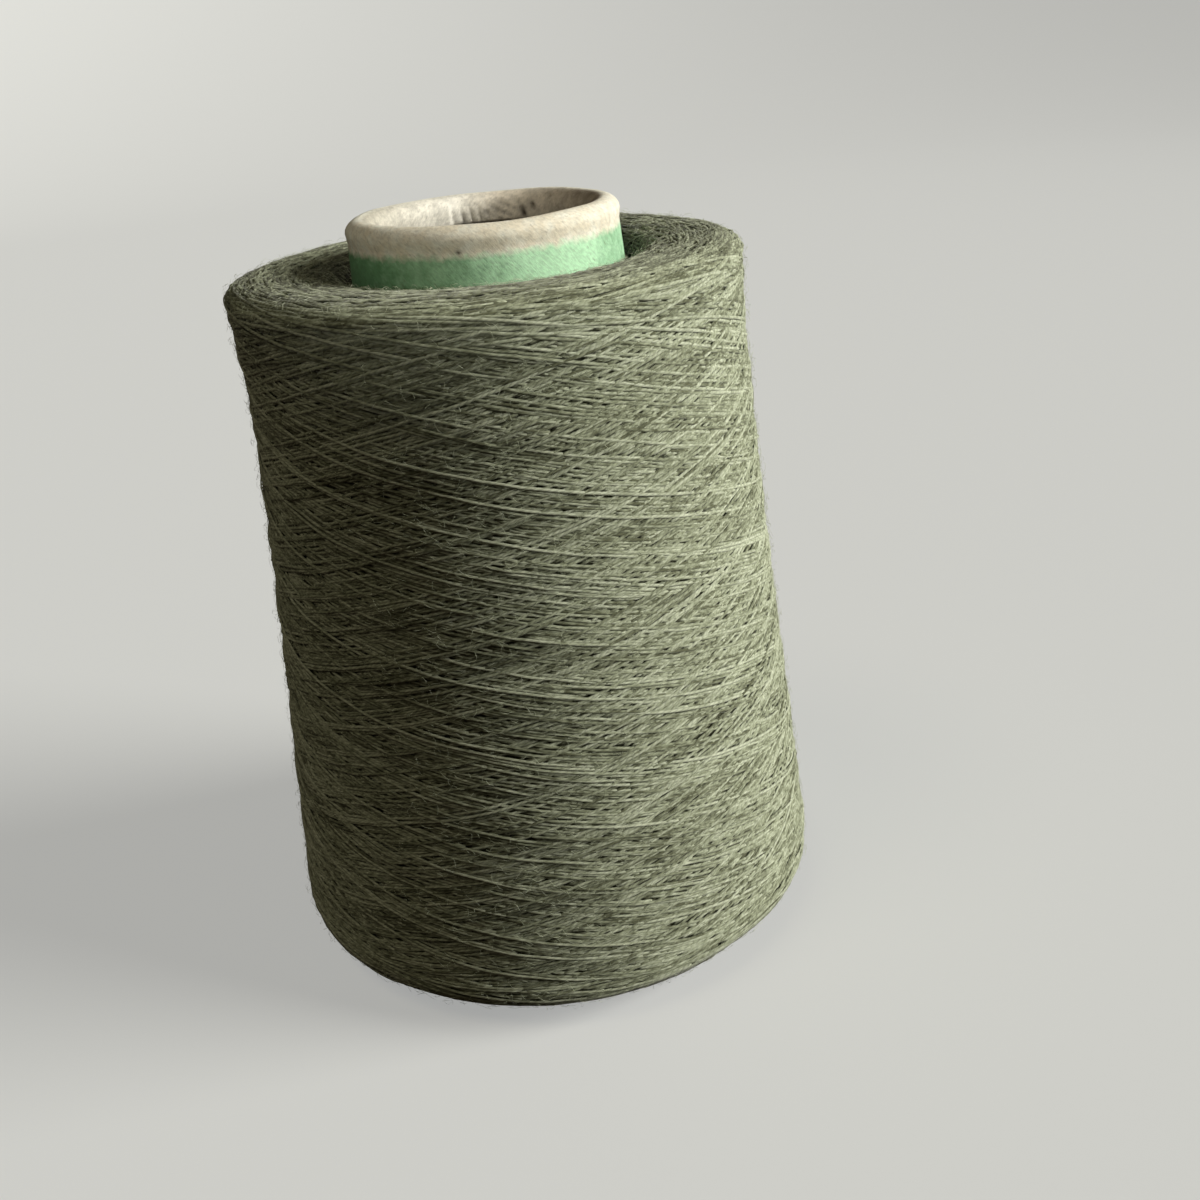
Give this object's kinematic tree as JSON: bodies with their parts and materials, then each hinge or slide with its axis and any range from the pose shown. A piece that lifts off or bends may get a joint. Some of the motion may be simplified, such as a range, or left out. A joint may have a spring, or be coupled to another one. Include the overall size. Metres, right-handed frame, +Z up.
{
  "type": "cone of yarn",
  "caption": "Fine heathered green knitting yarn cross-wound on a hollow tapered paper cone whose rolled nose and green band stand above it.",
  "frame": {"origin": "centre of the paper cone's foot, on the surface that the object stands on", "axes": "+Z up the winding axis towards the rolled nose; +X to the right and -Y towards the viewer in the picture's view"},
  "size_m": [0.1306, 0.131, 0.17],
  "materials": {
    "paper": "matte, pressed beige-grey paper, with a green dyed band under the rolled lip",
    "yarn": "matte, fine two-ply heathered sage green wool, slightly hairy"
  },
  "bodies": {
    "root": {"paper_cone": "paper", "yarn_package": "yarn"}
  },
  "joints": []
}
